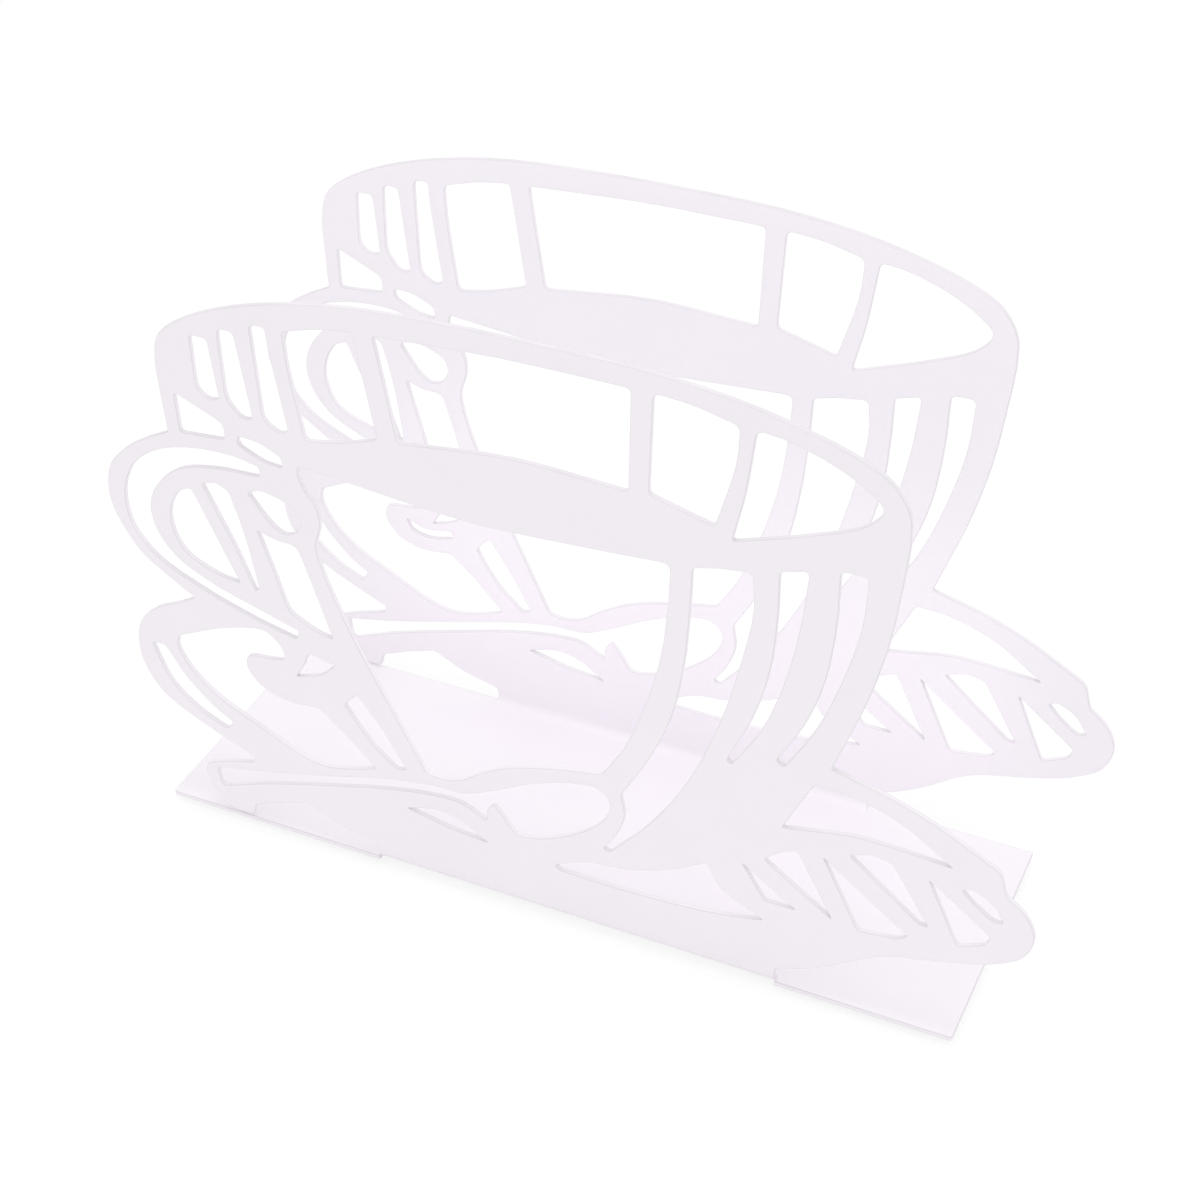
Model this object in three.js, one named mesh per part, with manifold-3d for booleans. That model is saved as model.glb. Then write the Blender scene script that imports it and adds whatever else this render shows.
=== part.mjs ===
// Napkin holder folded from one steel sheet: a flat base with a pierced panel standing on each long side.
// Each panel is drawn as a cup on a saucer with a spoon. Millimetres, +Z up, the front panel towards -Y.
import * as THREE from "three";
import { mergeVertices } from "three/addons/utils/BufferGeometryUtils.js";
import Module from "manifold-3d";

const wasm = await Module();
wasm.setup();

// Sheet and folds
const SHEET = 0.8; // thickness of the steel
const BEND_RADIUS = 1.5; // inside radius of each fold
const LEAN = THREE.MathUtils.degToRad(1.46); // how far each panel leans out from upright
const LIP = 0.6; // flat stretch of a panel's sheet that runs into the base past its fold
const RELIEF = 0.12; // width of the laser's cut in the base beside each end of a fold

// Base
const BASE_LENGTH = 137;
const SPREAD = 45; // across the two panels' outer faces, where they would meet the underside
const BASE_SETBACK = 0.1; // how far the base's long edges stay inside the panels' outer faces
const BASE_CORNER = 0.5; // radius of the base's corners

// Pads
const FOOT_DIAMETER = 10;
const FOOT_HEIGHT = 1.2;
const FOOT_MARGIN = 4; // from a pad's rim to the base's edges

// Panels
const PANEL_HEIGHT = 106.3; // up a panel, from the base's underside to the top of the cup's mouth

// The panel's drawing, in units of its own: x from the middle of the base, z up from the base's underside
const FOLD_LEFT = -29; // where the fold begins
const FOLD_RIGHT = 40; // where the fold ends

// Facets
const CHORD_ERROR = 0.04; // largest gap between a cut curve and its facets
const CURVE_SAMPLES = 24;
const FOLD_STEPS = 8;
const CORNER_STEPS = 4;
const FOOT_SIDES = 32;

// The drawing is made of rings of marks. [x, z] lies on a smooth curve and [x, z, r] is a corner that is
// rounded off from a distance r before it to a distance r after it.

// Outline of spoon, saucer, handle and cup, clockwise from the left end of the fold to its right end
const silhouette = [
  [FOLD_LEFT, 3.6, 0.8], [-35.5, 5.2], [-41.6, 8, 0.5],
  // end of the spoon
  [-47, 6.1], [-52, 3.9, 0.8], [-52.6, 1.3, 0.5], [-57.5, 1.3, 2], [-60, 5], [-61, 8], [-60.6, 10.2, 1],
  [-56, 12], [-51.2, 13.5, 0.6], [-51, 14.8, 0.6],
  // saucer's left end
  [-57, 17.4], [-63, 20.3], [-67, 23.1], [-69.6, 27.2], [-70.5, 32], [-69.3, 37.4], [-66, 41],
  [-61.5, 43.4], [-58.2, 45.4, 0.4],
  // handle
  [-62.5, 48.3], [-66.5, 51.2], [-69.5, 55.6], [-71.3, 61], [-70.3, 67.2], [-67, 71.2], [-63, 74.1],
  [-58.6, 76.4, 0.3],
  // mouth of the cup
  [-59, 84], [-59.1, 88.5], [-58, 93.2], [-54, 96.7], [-46, 100.5], [-36, 103.4], [-26, 105.1],
  [-10, 106.1], [4, 106.3], [18, 106.1], [30, 104.9], [40, 102.8], [48, 100.2], [52.5, 97.6],
  [55, 93.8],
  // right wall of the cup
  [55.5, 90], [55, 82.5], [53.6, 71], [51.2, 60.5], [46.9, 47.2, 0.5],
  // saucer's right end
  [55, 45.2], [63, 42.1], [72.6, 36.9, 1], [73.8, 32.7, 0.4], [76.8, 30.2], [78.5, 26.2], [77.2, 21.8],
  [72.5, 18.5], [66, 16.2], [58, 14], [54, 11.9], [50, 8.9], [45, 5.9],
  [FOLD_RIGHT, 3.8, 0.6],
];

// Slots and windows round the cup's mouth, from left to right
const rimCuts = [
  [[-52.5, 94.6, 0.8], [-49.6, 94.6, 0.8], [-48.7, 84.5, 0.8], [-50.8, 84.1, 1], [-52.5, 85.6, 1]],
  [[-47.7, 96.8, 1.3], [-45, 96.8, 1], [-43.3, 82.5, 0.8], [-45.4, 82.2, 1], [-47.6, 85, 1.5]],
  [[-42.2, 98.7, 1.2], [-39.6, 98.8, 0.8], [-39.4, 95.5], [-37.5, 82, 0.6], [-39, 81.2, 0.8],
    [-41.6, 82.6, 1.5]],
  [[-36.9, 98.8, 1], [-31, 100.5], [-25.5, 101.4, 0.8], [-22.8, 84.4, 0.8], [-29, 82.3], [-34.8, 81, 1],
    [-36.4, 92]],
  [[-22.3, 101.6, 0.8], [-3, 102.8], [16.2, 102.9, 1], [15.8, 86.3, 0.8], [-2, 86.8], [-19.6, 84.7, 0.8]],
  [[19.4, 103, 1.2], [25, 102.5], [31.6, 101, 1.2], [31.2, 95], [28.4, 84.2, 0.6], [18.8, 86.7, 0.8]],
  [[33.9, 101, 1.2], [38, 100.5], [44, 98.6], [49, 95.9], [51.5, 93.3], [49.5, 90.3], [42, 86.6],
    [30.9, 82.4, 0.8], [32.6, 90.5]],
  [[-56.6, 83.9, 0.8], [-48.6, 80.4, 1.2], [-48.6, 77.6, 0.8], [-56.4, 76.9, 0.6]],
  [[-46.5, 78.9, 0.9], [-43, 78.6], [-39.2, 77, 1], [-39.2, 75, 0.8], [-42.5, 75.4], [-46.4, 77.1, 0.8]],
];

// The handle's long slot, then the leaves inside it
const handleCuts = [
  [[-43.2, 74.2, 0.8], [-48, 75], [-55, 74.5], [-61.5, 72.3], [-66.2, 68.2], [-68.4, 62], [-67.6, 56.2],
    [-64, 51.6], [-57, 47.9], [-48, 44.7], [-40.2, 42.8, 0.5], [-39.5, 44.6, 0.5], [-47, 46.9],
    [-55, 49.6], [-60.5, 52.8], [-63.4, 57.2], [-63.9, 61.6], [-62, 66], [-57.5, 70.1], [-51, 71.9],
    [-43.4, 72.4, 0.6]],
  [[-56, 67, 0.8], [-49.2, 51, 0.5], [-53, 51.5], [-58.5, 54.2], [-60.4, 58.5], [-60, 62.6], [-58, 65.9]],
  [[-53.9, 68.4, 0.8], [-51.5, 69.1], [-49.3, 68.4, 1], [-47.4, 61], [-45.9, 51, 0.5], [-46.6, 50.2, 0.5],
    [-49.5, 58.3]],
  [[-45.9, 68.9, 0.7], [-43.8, 69.8], [-40, 69.1], [-37.6, 67.6], [-37.2, 65.6], [-38.4, 63.6],
    [-40.4, 63], [-42.2, 64.1]],
  [[-45, 62.3, 0.5], [-42, 61.4], [-38.3, 61.2, 1.2], [-36.4, 55], [-33.5, 44.9, 0.6], [-36.5, 45.6],
    [-41, 47.9, 1.5], [-42.5, 53.8]],
];

// The bowl's great window, then the slots between its ribs
const bowlCuts = [
  [[-36.6, 76.3, 0.8], [-28, 75.5], [-18, 74.6], [-9, 74.1], [0, 74.4], [12, 75.2], [22.1, 76, 1.5],
    [21.7, 68], [20.6, 58.5], [18, 48.3], [14.8, 39.6], [11.3, 33.4, 0.6], [4, 31.8], [-4.5, 29],
    [-9.5, 26], [-13.2, 23.3], [-16.3, 22.5], [-18.9, 22.7, 1], [-24, 33.5], [-28.5, 43], [-32, 51.3],
    [-34.3, 58.3], [-34.9, 62.1], [-33.8, 66.3], [-34.1, 69.3], [-36, 72.3], [-36.7, 74.5]],
  [[25.3, 76.3, 0.8], [29, 77.3], [34, 78.1, 1.2], [34.4, 72], [32.7, 61.5], [29.4, 48.3], [24.5, 35.6],
    [18.5, 25.4], [12.4, 17.7, 0.6], [11.4, 18.2, 0.4], [13.7, 22], [15, 26.3], [14.4, 30.3, 0.4],
    [18.7, 38.5], [22.3, 48], [24.3, 59], [25.1, 70]],
  [[37.9, 79.4, 0.8], [42.1, 80.7, 1.2], [41.2, 71], [39.3, 60.5], [36.3, 51], [31.9, 42.8, 0.4],
    [31.1, 43.4, 0.4], [35, 53], [37.2, 62.5], [37.9, 72]],
  [[46.4, 82, 1], [50.3, 82.2, 1.2], [49.8, 73.5], [47.6, 63.5], [44.2, 53.5], [39.9, 45.1, 0.5],
    [38.6, 45.9, 0.5], [42.6, 54], [45.2, 63], [46.3, 73]],
];

// The saucer: crescent beside the cup, the fan to its right, the crescent below, then the left end
const saucerCuts = [
  [[44.6, 43.5, 0.6], [50, 43.2], [57.5, 40.8], [65.8, 35.2, 0.6], [58, 35.7], [51, 35.7], [40, 33.4, 0.5]],
  [[34.1, 23.9, 0.4], [42.8, 17.6, 0.4], [37.9, 17.5, 0.6]],
  [[37.4, 26.1, 0.8], [40, 28.4], [42.6, 29.7, 0.8], [48.5, 17.9, 0.6]],
  [[46.6, 29.9, 0.4], [60.2, 19.2, 0.6], [58.8, 18, 0.6], [52.6, 17.2, 0.6]],
  [[50.4, 31.9, 0.5], [54, 33.1], [57, 32.6, 0.8], [63.1, 22.3, 0.5], [61.8, 22.3, 0.4]],
  [[62.5, 31.6, 0.4], [72.4, 23.9, 0.9], [71.5, 22, 0.8], [67.6, 20.2, 0.6]],
  [[67.3, 31.6, 0.6], [68.8, 32.1], [72, 30.4], [74, 27.4, 0.7], [72.6, 27.2], [69.5, 29.3]],
  [[2.9, 11.3, 0.4], [8, 14], [15, 15.1], [22, 17.7], [28.4, 21.7, 0.5], [30.8, 17.4], [37.8, 13.4, 0.5],
    [30, 11.7], [16, 10.5], [4, 10.5, 0.3]],
  [[-22.9, 13.9, 0.4], [-18, 15.4], [-13.5, 14.8], [-8.6, 11.7, 0.4], [-15, 12.3]],
  [[-32.8, 32.2, 1], [-30.2, 35, 0.9], [-26, 28.8], [-22.4, 22.2, 0.7], [-24.2, 21.6, 0.5], [-28.5, 25.7]],
  [[-62.6, 36.4, 1], [-55, 40.2], [-49, 42.3], [-45.8, 42.6], [-43.2, 40.2], [-43, 38], [-46, 37.2],
    [-49.5, 36.5], [-50, 34], [-47.5, 30.7], [-43, 29.3], [-37.6, 29.8, 0.6], [-33, 25.8],
    [-27.9, 20.4, 0.6], [-32.5, 18.7], [-37.5, 17.6], [-42, 18.5], [-49, 21.9], [-56.5, 25.9],
    [-60.8, 30], [-62.8, 34]],
  [[-67.9, 33.5, 0.7], [-65.4, 33.7, 0.7], [-62, 28], [-57.5, 23.3], [-54.2, 21.1, 0.6],
    [-55.6, 19.2, 0.6], [-60.5, 21.7], [-65, 26]],
  [[-38.3, 40.6, 0.4], [-33.7, 39.7, 0.4], [-36.5, 36.9], [-41, 35.1, 0.4], [-39.3, 38]],
];

// The spoon lying across the saucer, its stem to the left
const spoonCut = [
  [-58.7, 9.9, 1], [-50, 11.9], [-38, 15.3], [-26, 18.9], [-18, 20.5], [-12.5, 20.8], [-7, 23.4],
  [0, 27.4], [6, 29.7], [10.5, 30.2], [12.6, 28], [11.3, 23.8], [6, 18.9], [0, 15.9], [-3.5, 15.5],
  [-5.6, 18.2], [-7.4, 20.1], [-8.4, 18.8], [-8.6, 16.4, 0.4], [-13, 18.5], [-18, 18.4], [-26, 16.8],
  [-38, 13.2], [-50, 9.2], [-58.2, 5.8, 1],
];

// Crescent in the curl under the handle, which the rear panel alone has
const curlCut = [
  [-46, 34.9, 0.4], [-44.4, 34.2], [-42.6, 33.7], [-39.9, 34], [-37.4, 34.5, 0.6], [-37.2, 33, 0.6],
  [-41.2, 32.1], [-43.4, 32.2], [-45.2, 33],
];

// Sizes that follow from those above
const bendAngle = Math.PI / 2 - LEAN;
const outerRadius = BEND_RADIUS + SHEET;
const foldRise = outerRadius * Math.tan(bendAngle / 2);
const seam = SPREAD / 2 - foldRise - LIP;
const baseHalfWidth = SPREAD / 2 - BASE_SETBACK;
const drawnHeight = Math.max(...silhouette.map(([, z]) => z));
const drawingUnit = PANEL_HEIGHT / drawnHeight;
const foldStart = FOLD_LEFT * drawingUnit;
const foldEnd = FOLD_RIGHT * drawingUnit;

// Fewest points of a curve that stay within the chord error of it
function thin(points) {
  const chord = new THREE.Line3(points[0], points.at(-1));
  const foot = new THREE.Vector3();
  const gaps = points.map((point) => chord.closestPointToPoint(point, true, foot).distanceTo(point));
  const widest = Math.max(...gaps);
  if (widest < CHORD_ERROR) {
    return [points[0], points.at(-1)];
  }
  const middle = gaps.indexOf(widest);
  return [...thin(points.slice(0, middle + 1)), ...thin(points.slice(middle)).slice(1)];
}

// Points along the cut that a ring of marks stands for
function cutLine(marks) {
  const count = marks.length;
  const spots = marks.map(([x, z]) => new THREE.Vector3(x, z, 0).multiplyScalar(drawingUnit));
  const spot = (i) => spots[(i + count) % count];
  const corners = [...marks.keys()].filter((i) => marks[i].length === 3);
  const setBack = (corner, neighbour) => {
    const way = spot(neighbour).clone().sub(spot(corner));
    return way.setLength(marks[corner][2] * drawingUnit).add(spot(corner));
  };
  const line = [];
  corners.forEach((corner, k) => {
    const next = corners[(k + 1) % corners.length];
    const span = next > corner ? next - corner : next - corner + count;
    const run = [setBack(corner, corner + 1)];
    for (let i = 1; i < span; i += 1) {
      run.push(spot(corner + i));
    }
    run.push(setBack(next, next - 1));
    const curve = new THREE.CatmullRomCurve3(run);
    line.push(...thin(curve.getPoints(span * CURVE_SAMPLES)).slice(1));
    if (marks[next][2] > 0) {
      const turn = new THREE.QuadraticBezierCurve3(run.at(-1), spot(next), setBack(next, next + 1));
      line.push(...thin(turn.getPoints(CURVE_SAMPLES)).slice(1));
    }
  });
  return line;
}

// Closed body of a geometry, ready to be joined to another
function bodyOf(geometry) {
  geometry.deleteAttribute("normal");
  geometry.deleteAttribute("uv");
  const merged = mergeVertices(geometry);
  return new wasm.Manifold(new wasm.Mesh({
    numProp: 3,
    vertProperties: merged.getAttribute("position").array,
    triVerts: Uint32Array.from(merged.getIndex().array),
  }));
}

function geometryOf(body) {
  const mesh = body.getMesh();
  const shared = new THREE.BufferGeometry();
  shared.setAttribute("position", new THREE.BufferAttribute(mesh.vertProperties, 3));
  shared.setIndex(new THREE.BufferAttribute(mesh.triVerts, 1));
  const geometry = shared.toNonIndexed();
  geometry.computeVertexNormals();
  return geometry;
}

// The pierced plate lies flat, drawn x and z as x and y, its outer face at 0 and its inner face at SHEET
// in the direction of inward
function plateGeometry(inward, cuts) {
  const foldTop = foldRise / drawingUnit;
  const outline = [...silhouette, [FOLD_RIGHT, foldTop, 0], [FOLD_LEFT, foldTop, 0]];
  const shape = new THREE.Shape(cutLine(outline).reverse());
  shape.holes = cuts.map((marks) => new THREE.Path(cutLine(marks)));
  const plate = new THREE.ExtrudeGeometry(shape, { depth: SHEET, bevelEnabled: false });
  return plate.translate(0, 0, inward > 0 ? 0 : -SHEET);
}

// The fold under the plate and its lip, as a section swept from one end of the fold to the other
function foldGeometry(inward) {
  const arc = (radius) => {
    const points = [];
    for (let i = 0; i <= FOLD_STEPS; i += 1) {
      const angle = (bendAngle * i) / FOLD_STEPS;
      const height = foldRise - radius * Math.sin(angle);
      points.push(new THREE.Vector2(height, inward * (outerRadius - radius * Math.cos(angle))));
    }
    const lip = new THREE.Vector2(-Math.cos(bendAngle), inward * Math.sin(bendAngle));
    points.push(lip.multiplyScalar(LIP).add(points.at(-1)));
    return points;
  };
  const section = new THREE.Shape([...arc(outerRadius), ...arc(BEND_RADIUS).reverse()]);
  const fold = new THREE.ExtrudeGeometry(section, { depth: foldEnd - foldStart, bevelEnabled: false });
  const up = new THREE.Vector3(0, 1, 0);
  const across = new THREE.Vector3(0, 0, 1);
  const along = new THREE.Vector3(1, 0, 0);
  return fold.translate(0, 0, foldStart).applyMatrix4(new THREE.Matrix4().makeBasis(up, across, along));
}

const coat = { color: 0xefebf1, roughness: 0.55, metalness: 0 };

// A panel stands on the side that side names: -1 for the front and 1 for the rear
function panel(name, side, cuts) {
  const body = bodyOf(plateGeometry(side, cuts)).add(bodyOf(foldGeometry(side)));
  const mesh = new THREE.Mesh(geometryOf(body), new THREE.MeshStandardMaterial(coat));
  mesh.name = name;
  mesh.rotation.x = Math.PI / 2 - side * LEAN;
  mesh.position.y = (side * SPREAD) / 2;
  return mesh;
}

// Rectangle with rounded corners, cut back on both long sides to where the panels' lips end
function basePlate() {
  const x = BASE_LENGTH / 2;
  const y = baseHalfWidth;
  const shape = new THREE.Shape();
  const quarter = Math.PI / 2;
  [[1, 1], [-1, 1], [-1, -1], [1, -1]].forEach(([right, rear], i) => {
    const middle = [right * (x - BASE_CORNER), rear * (y - BASE_CORNER)];
    shape.absarc(...middle, BASE_CORNER, i * quarter, (i + 1) * quarter);
    if (right === rear) {
      const ends = [foldStart - RELIEF, foldEnd + RELIEF];
      const [near, far] = right > 0 ? ends.reverse() : ends;
      shape.lineTo(near, rear * y);
      shape.lineTo(near, rear * seam);
      shape.lineTo(far, rear * seam);
      shape.lineTo(far, rear * y);
    }
  });
  const plate = new THREE.ExtrudeGeometry(shape, {
    depth: SHEET,
    bevelEnabled: false,
    curveSegments: CORNER_STEPS,
  });
  const mesh = new THREE.Mesh(plate, new THREE.MeshStandardMaterial(coat));
  mesh.name = "base_plate";
  return mesh;
}

function foot(name, right, rear) {
  const radius = FOOT_DIAMETER / 2;
  const inset = FOOT_MARGIN + radius;
  const pad = new THREE.CylinderGeometry(radius, radius, FOOT_HEIGHT, FOOT_SIDES);
  pad.rotateX(Math.PI / 2);
  const rubber = new THREE.MeshStandardMaterial({ color: 0xdcdcdc, roughness: 0.8, metalness: 0 });
  const mesh = new THREE.Mesh(pad, rubber);
  mesh.name = name;
  mesh.position.set(right * (BASE_LENGTH / 2 - inset), rear * (baseHalfWidth - inset), -FOOT_HEIGHT / 2);
  return mesh;
}

// The folded sheet on its pads, with its origin in the middle of the base's underside
const holder = new THREE.Group();
const cuts = [...rimCuts, ...handleCuts, ...bowlCuts, ...saucerCuts, spoonCut];
holder.add(basePlate(), panel("front_panel", -1, cuts), panel("rear_panel", 1, [...cuts, curlCut]));
holder.add(foot("foot_front_left", -1, -1), foot("foot_front_right", 1, -1));
holder.add(foot("foot_rear_left", -1, 1), foot("foot_rear_right", 1, 1));

// The finished part stands on its pads, with the middle of its reach over the origin
const reach = new THREE.Box3().setFromObject(holder).getCenter(new THREE.Vector3());
holder.position.set(-reach.x, -reach.y, FOOT_HEIGHT);
const part = new THREE.Group();
part.add(holder);

export default part;
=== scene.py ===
"""Looks of a folded steel napkin holder: powder-coated sheet, soft pads and a pale studio."""

import math

import bmesh
import bpy
from bpy.props import FloatProperty, FloatVectorProperty, IntProperty, PointerProperty
from bpy.types import Operator, Panel, PropertyGroup
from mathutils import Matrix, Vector


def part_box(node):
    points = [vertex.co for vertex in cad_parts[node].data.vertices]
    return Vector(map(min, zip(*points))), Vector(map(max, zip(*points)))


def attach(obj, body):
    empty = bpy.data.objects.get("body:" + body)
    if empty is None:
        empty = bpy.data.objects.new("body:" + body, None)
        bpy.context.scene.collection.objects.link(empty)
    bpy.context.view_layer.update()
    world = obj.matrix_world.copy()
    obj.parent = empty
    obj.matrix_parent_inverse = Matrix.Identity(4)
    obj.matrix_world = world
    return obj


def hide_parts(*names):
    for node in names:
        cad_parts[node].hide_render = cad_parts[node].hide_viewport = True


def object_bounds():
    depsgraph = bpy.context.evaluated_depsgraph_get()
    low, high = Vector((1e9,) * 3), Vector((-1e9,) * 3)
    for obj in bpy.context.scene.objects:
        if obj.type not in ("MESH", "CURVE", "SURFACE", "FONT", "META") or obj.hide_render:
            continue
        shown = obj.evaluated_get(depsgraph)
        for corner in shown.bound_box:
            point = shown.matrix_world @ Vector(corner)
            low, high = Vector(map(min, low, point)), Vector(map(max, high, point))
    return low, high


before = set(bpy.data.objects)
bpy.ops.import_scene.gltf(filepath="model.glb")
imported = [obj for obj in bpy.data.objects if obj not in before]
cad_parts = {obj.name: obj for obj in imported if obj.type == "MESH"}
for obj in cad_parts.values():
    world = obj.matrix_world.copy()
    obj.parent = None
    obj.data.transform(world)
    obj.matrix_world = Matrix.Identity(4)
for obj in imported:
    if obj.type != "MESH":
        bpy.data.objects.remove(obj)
cad_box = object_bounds()

bl_info = {
    "name": "Cup Panel Napkin Holder",
    "version": (1, 0, 0),
    "blender": (4, 5, 0),
    "location": "View3D > Sidebar > Napkin Holder",
    "description": "Finishes a folded sheet napkin holder and sets it in a pale studio",
    "category": "Object",
}

BODY = "root"
COAT_SLOT = "white_coat"
PAD_SLOT = "pad"
PANELS = ("front_panel", "rear_panel")
BASE = "base_plate"
PADS = ("foot_front_left", "foot_front_right", "foot_rear_left", "foot_rear_right")
# Face mask that darkens the coat: partly a thinner coat on cut edges, partly painted shade that outlines
# the cuts and darkens up-facing cuts and the base's edges
THIN_COAT_AND_SHADE = "thin_coat_and_shade"

# How shapes are told apart, in metres, radians and shares
MERGE_DISTANCE = 1e-6
FLAT_ANGLE = math.radians(1.0)
CUT_ANGLE = math.radians(50.0)
SEAM_TOLERANCE = 2e-5
FLAT_TOLERANCE = 1.5e-5
CUT_WIDTH = 2e-4
THROUGH_SHEET = 0.5
FACING_UP = 0.999

# Facets of a pad
PAD_SIDES = 48
PAD_RIM_SEGMENTS = 4

# Edge darkening, partly a thinner coat and partly painted shade: the mottle's range and the least share
# that stays
MOTTLE_RANGE = (0.3, 0.7)
LEAST_WEAR_AND_SHADE = 0.6

# Lights: places and sizes in metres, and the spread as an angle
TOP_LIGHT_PLACE = (0.015, -0.04, 0.36)
TOP_LIGHT_SIZE = (0.2, 0.08)
INNER_LIGHT_PLACE = (0.002, -0.017, 0.03)
INNER_LIGHT_TARGET = (0.002, 0.02, 0.034)
INNER_LIGHT_SIZE = (0.11, 0.052)
INNER_LIGHT_SPREAD = math.radians(75.0)

# Floor: reach in metres, colour, strength of its glow and the glow's share of what the eye sees
FLOOR_REACH = 3.0
FLOOR_COLOUR = (0.95, 0.95, 0.95, 1.0)
FLOOR_GLOW = 1.03
GLOW_SHARE = 0.8

# Camera: sensor in millimetres, and how near and far it sees in metres
SENSOR_WIDTH_MM = 36.0
CAMERA_RANGE = (0.01, 10.0)


class SheetSettings(PropertyGroup):
    """Coat of the folded sheet."""

    edge_radius: FloatProperty(
        name="Edge radius",
        description="Rounding that the coat leaves on every cut edge",
        default=0.00012,
        min=0.00002,
        max=0.0003,
        precision=6,
        subtype="DISTANCE",
        unit="LENGTH",
    )
    edge_segments: IntProperty(
        name="Edge segments",
        description="Facets across a rounded edge",
        default=2,
        min=1,
        max=4,
    )
    colour: FloatVectorProperty(
        name="Coat colour",
        description="White of the powder coat, with a breath of lilac",
        default=(0.937, 0.898, 0.945, 1.0),
        size=4,
        min=0.0,
        max=1.0,
        subtype="COLOR",
    )
    roughness: FloatProperty(
        name="Coat roughness",
        description="How satin the powder coat is",
        default=0.5,
        min=0.1,
        max=1.0,
        subtype="FACTOR",
    )
    # The darkest tone of the edge mask, which is partly a thinner coat and partly painted shade on the
    # cut edges
    edge_shade: FloatProperty(
        name="Edge shade",
        description="Tone of the coat where it is thinnest, as a share of its tone elsewhere",
        default=0.76,
        min=0.1,
        max=1.0,
        subtype="FACTOR",
    )
    # Share of the darkening on the panels' rounded cut edges: partly a thinner coat, partly painted shade
    # that draws dark outlines
    edge_wear_and_shade: FloatProperty(
        name="Edge wear",
        description="How thin the coat is on the panels' unrubbed cut edges, next to the thinnest coat",
        default=0.67,
        min=0.0,
        max=1.0,
        subtype="FACTOR",
    )
    # Painted shade: cut faces that face up are darkened, the more the higher they stand, where the top
    # light falls on them
    top_cut_shade: FloatProperty(
        name="Rubbed cuts",
        description="How far napkins have rubbed the highest cuts, from not at all to the thinnest coat",
        default=1.0,
        min=0.0,
        max=1.0,
        subtype="FACTOR",
    )
    grain_size: FloatProperty(
        name="Peel size",
        description="Width of the small waves that baked powder leaves",
        default=0.0009,
        min=0.0001,
        max=0.01,
        precision=5,
        subtype="DISTANCE",
        unit="LENGTH",
    )
    grain_depth: FloatProperty(
        name="Peel depth",
        description="Height of the small waves that baked powder leaves",
        default=0.000012,
        min=0.0,
        max=0.0002,
        precision=7,
        subtype="DISTANCE",
        unit="LENGTH",
    )


class PadSettings(PropertyGroup):
    """The pads under the base."""

    rim_radius: FloatProperty(
        name="Rim radius",
        description="Rounding of a pad's lower rim",
        default=0.0004,
        min=0.0001,
        max=0.001,
        precision=5,
        subtype="DISTANCE",
        unit="LENGTH",
    )
    colour: FloatVectorProperty(
        name="Pad colour",
        description="Colour of the soft rubber",
        default=(0.72, 0.72, 0.71, 1.0),
        size=4,
        min=0.0,
        max=1.0,
        subtype="COLOR",
    )


class StageSettings(PropertyGroup):
    """Studio, light and camera."""

    top_power: FloatProperty(
        name="Top light",
        description="Power of the soft light close overhead",
        default=0.2,
        min=0.0,
        max=10.0,
        unit="POWER",
    )
    inner_power: FloatProperty(
        name="Inner light",
        description="Power of the weak fill between the panels, which faces the rear one",
        default=0.002,
        min=0.0,
        max=1.0,
        precision=4,
        unit="POWER",
    )
    ambient: FloatProperty(
        name="Ambient",
        description="Strength of the light from all round",
        default=0.915,
        min=0.0,
        max=2.0,
    )
    azimuth: FloatProperty(
        name="Camera azimuth",
        description="Turn of the camera round the holder, from straight in front",
        default=math.radians(24.198),
        subtype="ANGLE",
        unit="ROTATION",
    )
    elevation: FloatProperty(
        name="Camera elevation",
        description="Height of the camera above the horizon, as an angle",
        default=math.radians(36.558),
        subtype="ANGLE",
        unit="ROTATION",
    )
    eye: FloatVectorProperty(
        name="Camera place",
        description="Where the camera stands",
        default=(0.11537, -0.26351, 0.26225),
        size=3,
        precision=5,
        subtype="TRANSLATION",
        unit="LENGTH",
    )
    lens: FloatProperty(
        name="Focal length",
        description="Focal length on a 36 mm sensor, in millimetres",
        default=69.65,
        min=10.0,
        max=300.0,
        unit="CAMERA",
    )


class HolderSettings(PropertyGroup):
    """All settings of the napkin holder."""

    sheet: PointerProperty(name="Sheet", description="Coat of the folded sheet", type=SheetSettings)
    pads: PointerProperty(name="Pads", description="The pads under the base", type=PadSettings)
    stage: PointerProperty(name="Stage", description="Studio, light and camera", type=StageSettings)


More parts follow.
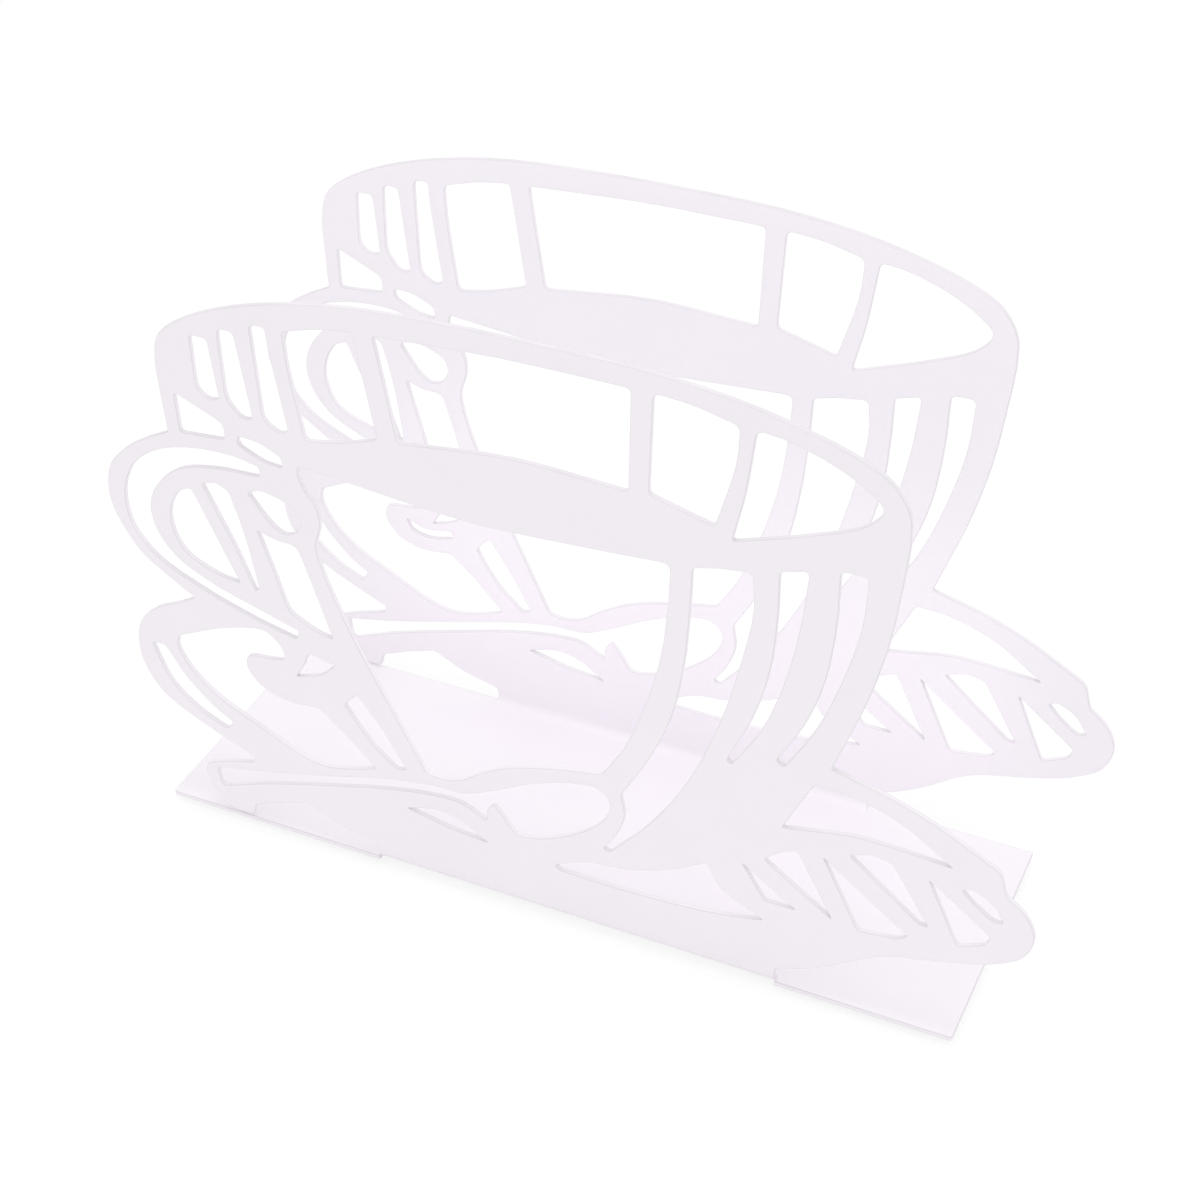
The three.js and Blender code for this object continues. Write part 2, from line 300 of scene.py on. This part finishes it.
def grain_group():
    """Shared shader group: fine grain as a height, broad mottle and an uneven edge mask as masks; the
    edge mask is partly a thinner coat and partly painted shade.
    """
    found = bpy.data.node_groups.get("surface_grain")
    if found:
        return found
    group = bpy.data.node_groups.new("surface_grain", "ShaderNodeTree")
    sockets = group.interface
    sockets.new_socket("Position", in_out="INPUT", socket_type="NodeSocketVector")
    sockets.new_socket("Edge", in_out="INPUT", socket_type="NodeSocketFloat")
    sockets.new_socket("Grain Scale", in_out="INPUT", socket_type="NodeSocketFloat")
    sockets.new_socket("Mottle Scale", in_out="INPUT", socket_type="NodeSocketFloat")
    sockets.new_socket("Height", in_out="OUTPUT", socket_type="NodeSocketFloat")
    sockets.new_socket("Mottle", in_out="OUTPUT", socket_type="NodeSocketFloat")
    sockets.new_socket("Wear And Shade", in_out="OUTPUT", socket_type="NodeSocketFloat")
    nodes = group.nodes
    link = group.links.new
    entry = nodes.new("NodeGroupInput")
    leave = nodes.new("NodeGroupOutput")
    noises = {}
    for scale, output, detail in (("Grain Scale", "Height", 2.0), ("Mottle Scale", "Mottle", 4.0)):
        noise = noises[output] = nodes.new("ShaderNodeTexNoise")
        noise.inputs["Detail"].default_value = detail
        link(entry.outputs["Position"], noise.inputs["Vector"])
        link(entry.outputs[scale], noise.inputs["Scale"])
        link(noise.outputs["Fac"], leave.inputs[output])
    uneven = nodes.new("ShaderNodeMapRange")
    uneven.inputs["From Min"].default_value, uneven.inputs["From Max"].default_value = MOTTLE_RANGE
    uneven.inputs["To Min"].default_value = LEAST_WEAR_AND_SHADE
    link(noises["Mottle"].outputs["Fac"], uneven.inputs["Value"])
    wear_and_shade = nodes.new("ShaderNodeMath")
    wear_and_shade.operation = "MULTIPLY"
    link(entry.outputs["Edge"], wear_and_shade.inputs[0])
    link(uneven.outputs["Result"], wear_and_shade.inputs[1])
    link(wear_and_shade.outputs["Value"], leave.inputs["Wear And Shade"])
    return group


def grained_material(
    name, colour, shade, edge_shade, roughness, spread, grain_size, grain_depth, mottle_size
):
    """A finely grained material: tone and gloss drift with the mottle, and the tone darkens by the edge
    mask, which is partly a thinner coat and partly painted shade.
    """
    material = bpy.data.materials.new(name)
    material.use_nodes = True
    nodes = material.node_tree.nodes
    link = material.node_tree.links.new
    shader = nodes["Principled BSDF"]
    place = nodes.new("ShaderNodeTexCoord")
    edge = nodes.new("ShaderNodeAttribute")
    edge.attribute_name = THIN_COAT_AND_SHADE
    grain = nodes.new("ShaderNodeGroup")
    grain.node_tree = grain_group()
    grain.inputs["Grain Scale"].default_value = 1.0 / grain_size
    grain.inputs["Mottle Scale"].default_value = 1.0 / mottle_size
    link(place.outputs["Object"], grain.inputs["Position"])
    link(edge.outputs["Fac"], grain.inputs["Edge"])
    tones = []
    # The second mix darkens by the edge mask: partly a thinner coat, partly painted shade
    for share, mask in ((shade, "Mottle"), (edge_shade, "Wear And Shade")):
        tone = nodes.new("ShaderNodeMix")
        tone.data_type = "RGBA"
        tone.inputs["A"].default_value = colour
        tone.inputs["B"].default_value = [channel * share for channel in colour[:3]] + [1.0]
        link(grain.outputs[mask], tone.inputs["Factor"])
        tones.append(tone)
    link(tones[0].outputs["Result"], tones[1].inputs["A"])
    link(tones[1].outputs["Result"], shader.inputs["Base Color"])
    gloss = nodes.new("ShaderNodeMapRange")
    gloss.inputs["To Min"].default_value = roughness - spread
    gloss.inputs["To Max"].default_value = roughness + spread
    link(grain.outputs["Mottle"], gloss.inputs["Value"])
    link(gloss.outputs["Result"], shader.inputs["Roughness"])
    bump = nodes.new("ShaderNodeBump")
    bump.inputs["Distance"].default_value = grain_depth
    link(grain.outputs["Height"], bump.inputs["Height"])
    link(bump.outputs["Normal"], shader.inputs["Normal"])
    return material


def coat_material(settings):
    """Satin powder coat on steel, one material for every coated piece."""
    found = bpy.data.materials.get("powder_coat")
    return found or grained_material(
        "powder_coat",
        settings.colour,
        shade=0.975,
        edge_shade=settings.edge_shade,
        roughness=settings.roughness,
        spread=0.05,
        grain_size=settings.grain_size,
        grain_depth=settings.grain_depth,
        mottle_size=0.012,
    )


def pad_material(settings):
    """Soft pale rubber."""
    found = bpy.data.materials.get("pad_rubber")
    return found or grained_material(
        "pad_rubber",
        settings.colour,
        shade=0.9,
        edge_shade=0.85,
        roughness=0.75,
        spread=0.08,
        grain_size=0.0003,
        grain_depth=0.00002,
        mottle_size=0.003,
    )


def add_piece(name, shape, material, slot, *nodes):
    """Turns a bmesh into a piece that stands for CAD nodes and rides with them."""
    mesh = bpy.data.meshes.new(name)
    shape.to_mesh(mesh)
    shape.free()
    mesh.materials.append(material)
    piece = bpy.data.objects.new(name, mesh)
    bpy.context.scene.collection.objects.link(piece)
    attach(piece, BODY)
    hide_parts(*nodes)
    return piece


def round_edges(shape, edges, radius, segments):
    """Bevels edges and gives back the new faces."""
    made = bmesh.ops.bevel(
        shape,
        geom=edges,
        offset=radius,
        offset_type="OFFSET",
        segments=segments,
        profile=0.5,
        affect="EDGES",
        clamp_overlap=False,
        loop_slide=False,
        material=-1,
    )
    return made["faces"]


def fold_line():
    """The y where a panel's lip meets the base, then the x of each end of the fold."""
    points = [vertex.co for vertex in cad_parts[PANELS[1]].data.vertices]
    seam = min(point.y for point in points)
    along = [point.x for point in points if point.y - seam < SEAM_TOLERANCE]
    return seam, (min(along), max(along))


def is_joined(point, seam, ends, top):
    """Whether a point lies where the base and a fold are one sheet."""
    beside = min(abs(point.x - end) for end in ends) < SEAM_TOLERANCE and point.z - top < SEAM_TOLERANCE
    return beside or abs(abs(point.y) - seam) < SEAM_TOLERANCE


def is_rim(edge, normal):
    """Whether an edge lies between a side of the sheet and a cut through it."""
    way = (edge.verts[0].co - edge.verts[1].co).normalized()
    return edge.calc_face_angle(0.0) > CUT_ANGLE and abs(way.dot(normal)) < THROUGH_SHEET


def skin_of(side):
    """A side of the sheet and all that it runs smoothly on to, round the fold and over the lip."""
    skin = set(side)
    ahead = list(side)
    while ahead:
        face = ahead.pop()
        smooth = [edge for edge in face.edges if edge.calc_face_angle(math.pi) < CUT_ANGLE]
        found = {other for edge in smooth for other in edge.link_faces} - skin
        skin |= found
        ahead.extend(found)
    return skin


def faces_at(shape, normal, level):
    """Faces of a sheet's flat side at one level."""
    return [
        face
        for face in shape.faces
        if all(abs(normal.dot(vertex.co) - level) < FLAT_TOLERANCE for vertex in face.verts)
    ]


def painted_top_shade(face):
    """Painted shade on a cut face: darker the more it faces up and the higher it stands, most on the top
    rims, none on walls that face sideways or down.
    """
    return max(face.normal.z, 0.0) * face.calc_center_median().z / cad_box[1].z


def refill(shape, normal, level):
    """Makes one flat face of a sheet anew, from rim to rim."""
    flat = faces_at(shape, normal, level)
    old = set(flat)
    rim = [edge for edge in shape.edges if sum(face in old for face in edge.link_faces) == 1]
    bmesh.ops.delete(shape, geom=flat, context="FACES_KEEP_BOUNDARY")
    bmesh.ops.triangle_fill(shape, edges=rim, use_beauty=True, use_dissolve=False, normal=normal)


def close_cuts(shape, ends):
    """Fills the laser's narrow cuts in the base beside the folds, as the coat does."""
    for vertex in shape.verts:
        for end in ends:
            if abs(vertex.co.x - end) < CUT_WIDTH:
                vertex.co.x = end


def coated_sheet(node, name, settings):
    """Copy of a CAD sheet with its cut edges rounded by the coat, square only where sheet joins sheet."""
    shape = bmesh.new()
    mark = shape.faces.layers.float.new(THIN_COAT_AND_SHADE)
    shape.from_mesh(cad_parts[node].data)
    bmesh.ops.remove_doubles(shape, verts=shape.verts, dist=MERGE_DISTANCE)
    bmesh.ops.dissolve_limit(shape, angle_limit=FLAT_ANGLE, verts=[], edges=shape.edges)
    low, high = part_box(BASE)
    seam, ends = fold_line()
    if node == BASE:
        close_cuts(shape, ends)
    widest = max(shape.faces, key=lambda face: face.calc_area())
    normal = widest.normal.copy()
    level = normal.dot(widest.verts[0].co)
    levels = (level, level - (high.z - low.z))
    skin = skin_of([face for height in levels for face in faces_at(shape, normal, height)])
    # Cut faces get painted shade by how far they face up and how high they stand
    for face in set(shape.faces) - skin:
        face[mark] = settings.top_cut_shade * painted_top_shade(face)
    rims = [
        edge
        for edge in shape.edges
        if is_rim(edge, normal)
        and not all(is_joined(vertex.co, seam, ends, high.z) for vertex in edge.verts)
    ]
    # The base's rounded edges take the full darkening, painted shade that makes them read darkest, low by
    # the floor
    least = 1.0 if node == BASE else settings.edge_wear_and_shade
    for face in round_edges(shape, rims, settings.edge_radius, settings.edge_segments):
        face.normal_update()
        face[mark] = least + (1.0 - least) * settings.top_cut_shade * painted_top_shade(face)
    for height in levels:
        refill(shape, normal, height)
    bmesh.ops.recalc_face_normals(shape, faces=shape.faces)
    for face in shape.faces:
        face.smooth = True
    for edge in shape.edges:
        edge.smooth = edge.calc_face_angle(0.0) < CUT_ANGLE
    piece = add_piece(name, shape, coat_material(settings), COAT_SLOT, node)
    weighting = piece.modifiers.new("flat_faces_first", "WEIGHTED_NORMAL")
    weighting.keep_sharp = True


def rubber_pad(node, settings):
    """Round pad in the place of a CAD pad, its lower rim rounded."""
    low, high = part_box(node)
    middle = (low + high) / 2
    radius = (high.x - low.x) / 2
    shape = bmesh.new()
    mark = shape.faces.layers.float.new(THIN_COAT_AND_SHADE)
    disc = bmesh.ops.create_circle(shape, cap_ends=True, segments=PAD_SIDES, radius=radius)
    bmesh.ops.translate(shape, verts=disc["verts"], vec=(middle.x, middle.y, low.z))
    raised = bmesh.ops.extrude_face_region(shape, geom=shape.faces[:])["geom"]
    top = [item for item in raised if isinstance(item, bmesh.types.BMVert)]
    bmesh.ops.translate(shape, verts=top, vec=(0.0, 0.0, high.z - low.z))
    bmesh.ops.recalc_face_normals(shape, faces=shape.faces)
    rim = [edge for edge in shape.edges if all(vertex.co.z < middle.z for vertex in edge.verts)]
    for face in round_edges(shape, rim, settings.rim_radius, PAD_RIM_SEGMENTS):
        face[mark] = 1.0
    for face in shape.faces:
        face.smooth = abs(face.normal.z) < FACING_UP
    add_piece("pad_" + node, shape, pad_material(settings), PAD_SLOT, node)


class NAPKIN_OT_coat_base(Operator):
    """Give the base plate its powder coat and soft cut edges"""

    bl_idname = "napkin.coat_base"
    bl_label = "Coat Base Plate"

    def execute(self, context):
        coated_sheet(BASE, "coated_base", context.scene.napkin_holder.sheet)
        return {"FINISHED"}


class NAPKIN_OT_coat_panels(Operator):
    """Give both pierced panels their powder coat and soft cut edges"""

    bl_idname = "napkin.coat_panels"
    bl_label = "Coat Panels"

    def execute(self, context):
        for node in PANELS:
            coated_sheet(node, "coated_" + node, context.scene.napkin_holder.sheet)
        return {"FINISHED"}


class NAPKIN_OT_seat_pads(Operator):
    """Make the round pads under the base"""

    bl_idname = "napkin.seat_pads"
    bl_label = "Seat Pads"

    def execute(self, context):
        for node in PADS:
            rubber_pad(node, context.scene.napkin_holder.pads)
        return {"FINISHED"}


def white_to_eye(nodes, link):
    """1 for what the camera, a mirror or clear glass sees, 0 for light that falls on a surface."""
    path = nodes.new("ShaderNodeLightPath")
    total = path.outputs["Is Camera Ray"]
    for ray in ("Is Glossy Ray", "Is Transmission Ray"):
        add = nodes.new("ShaderNodeMath")
        add.operation = "MAXIMUM"
        link(total, add.inputs[0])
        link(path.outputs[ray], add.inputs[1])
        total = add.outputs[0]
    return total


def pale_world(ambient):
    """Even light from all round, seen as white."""
    world = bpy.data.worlds.new("pale_studio")
    world.use_nodes = True
    nodes = world.node_tree.nodes
    link = world.node_tree.links.new
    background = nodes["Background"]
    background.inputs["Color"].default_value = (1.0, 1.0, 1.0, 1.0)
    level = nodes.new("ShaderNodeMapRange")
    level.inputs["To Min"].default_value = ambient
    level.inputs["To Max"].default_value = 1.0
    link(white_to_eye(nodes, link), level.inputs["Value"])
    link(level.outputs["Result"], background.inputs["Strength"])
    bpy.context.scene.world = world


def floor_material():
    """Matt white that glows to the eye alone, so that it stays white but keeps a faint shadow."""
    material = bpy.data.materials.new("pale_floor")
    material.use_nodes = True
    nodes = material.node_tree.nodes
    link = material.node_tree.links.new
    nodes.remove(nodes["Principled BSDF"])
    matt = nodes.new("ShaderNodeBsdfDiffuse")
    matt.inputs["Color"].default_value = FLOOR_COLOUR
    glow = nodes.new("ShaderNodeEmission")
    glow.inputs["Strength"].default_value = FLOOR_GLOW
    blend = nodes.new("ShaderNodeMixShader")
    share = nodes.new("ShaderNodeMath")
    share.operation = "MULTIPLY"
    share.inputs[1].default_value = GLOW_SHARE
    link(white_to_eye(nodes, link), share.inputs[0])
    link(share.outputs[0], blend.inputs["Fac"])
    link(matt.outputs["BSDF"], blend.inputs[1])
    link(glow.outputs["Emission"], blend.inputs[2])
    link(blend.outputs["Shader"], nodes["Material Output"].inputs["Surface"])
    return material


def pale_floor():
    """Wide floor under the pads."""
    shape = bmesh.new()
    bmesh.ops.create_grid(shape, x_segments=1, y_segments=1, size=FLOOR_REACH)
    mesh = bpy.data.meshes.new("floor")
    shape.to_mesh(mesh)
    shape.free()
    mesh.materials.append(floor_material())
    floor = bpy.data.objects.new("floor", mesh)
    bpy.context.scene.collection.objects.link(floor)


def soft_light(name, place, target, size, power):
    """A soft strip of light that faces a point."""
    light = bpy.data.lights.new(name, "AREA")
    light.shape = "RECTANGLE"
    light.size, light.size_y = size
    light.energy = power
    lamp = bpy.data.objects.new(name, light)
    lamp.location = place
    lamp.rotation_euler = (Vector(target) - lamp.location).to_track_quat("-Z", "Y").to_euler()
    bpy.context.scene.collection.objects.link(lamp)
    return lamp


def inner_light(power):
    """Weak fill between the panels that lifts the foot of the rear one and isn't seen itself."""
    lamp = soft_light("inner_light", INNER_LIGHT_PLACE, INNER_LIGHT_TARGET, INNER_LIGHT_SIZE, power)
    lamp.data.spread = INNER_LIGHT_SPREAD
    lamp.visible_camera = False
    lamp.visible_glossy = False


def studio_camera(settings):
    """Camera for a square frame."""
    lens = bpy.data.cameras.new("camera")
    lens.lens = settings.lens
    lens.sensor_width = SENSOR_WIDTH_MM
    lens.clip_start, lens.clip_end = CAMERA_RANGE
    camera = bpy.data.objects.new("camera", lens)
    camera.location = settings.eye
    camera.rotation_euler = (math.pi / 2 - settings.elevation, 0.0, settings.azimuth)
    bpy.context.scene.collection.objects.link(camera)
    return camera


class NAPKIN_OT_set_stage(Operator):
    """Set the floor, the light and the camera"""

    bl_idname = "napkin.set_stage"
    bl_label = "Set Stage"

    def execute(self, context):
        settings = context.scene.napkin_holder.stage
        pale_world(settings.ambient)
        pale_floor()
        middle = (cad_box[0] + cad_box[1]) / 2
        soft_light("top_light", TOP_LIGHT_PLACE, middle, TOP_LIGHT_SIZE, settings.top_power)
        inner_light(settings.inner_power)
        context.scene.camera = studio_camera(settings)
        context.scene.view_settings.view_transform = "Standard"
        return {"FINISHED"}


class NAPKIN_PT_holder(Panel):
    """Settings and steps of the napkin holder"""

    bl_idname = "NAPKIN_PT_holder"
    bl_label = "Napkin Holder"
    bl_space_type = "VIEW_3D"
    bl_region_type = "UI"
    bl_category = "Napkin Holder"

    def draw(self, context):
        settings = context.scene.napkin_holder
        steps = (
            (settings.sheet, (NAPKIN_OT_coat_base, NAPKIN_OT_coat_panels)),
            (settings.pads, (NAPKIN_OT_seat_pads,)),
            (settings.stage, (NAPKIN_OT_set_stage,)),
        )
        for group, operators in steps:
            box = self.layout.box()
            for name in group.__annotations__:
                box.prop(group, name)
            for operator in operators:
                box.operator(operator.bl_idname)


CLASSES = (
    SheetSettings,
    PadSettings,
    StageSettings,
    HolderSettings,
    NAPKIN_OT_coat_base,
    NAPKIN_OT_coat_panels,
    NAPKIN_OT_seat_pads,
    NAPKIN_OT_set_stage,
    NAPKIN_PT_holder,
)


def register():
    for cls in CLASSES:
        bpy.utils.register_class(cls)
    bpy.types.Scene.napkin_holder = PointerProperty(type=HolderSettings)


def unregister():
    del bpy.types.Scene.napkin_holder
    for cls in reversed(CLASSES):
        bpy.utils.unregister_class(cls)


def main():
    register()
    bpy.ops.napkin.coat_base()
    bpy.ops.napkin.coat_panels()
    bpy.ops.napkin.seat_pads()
    bpy.ops.napkin.set_stage()


if __name__ == "__main__":
    main()
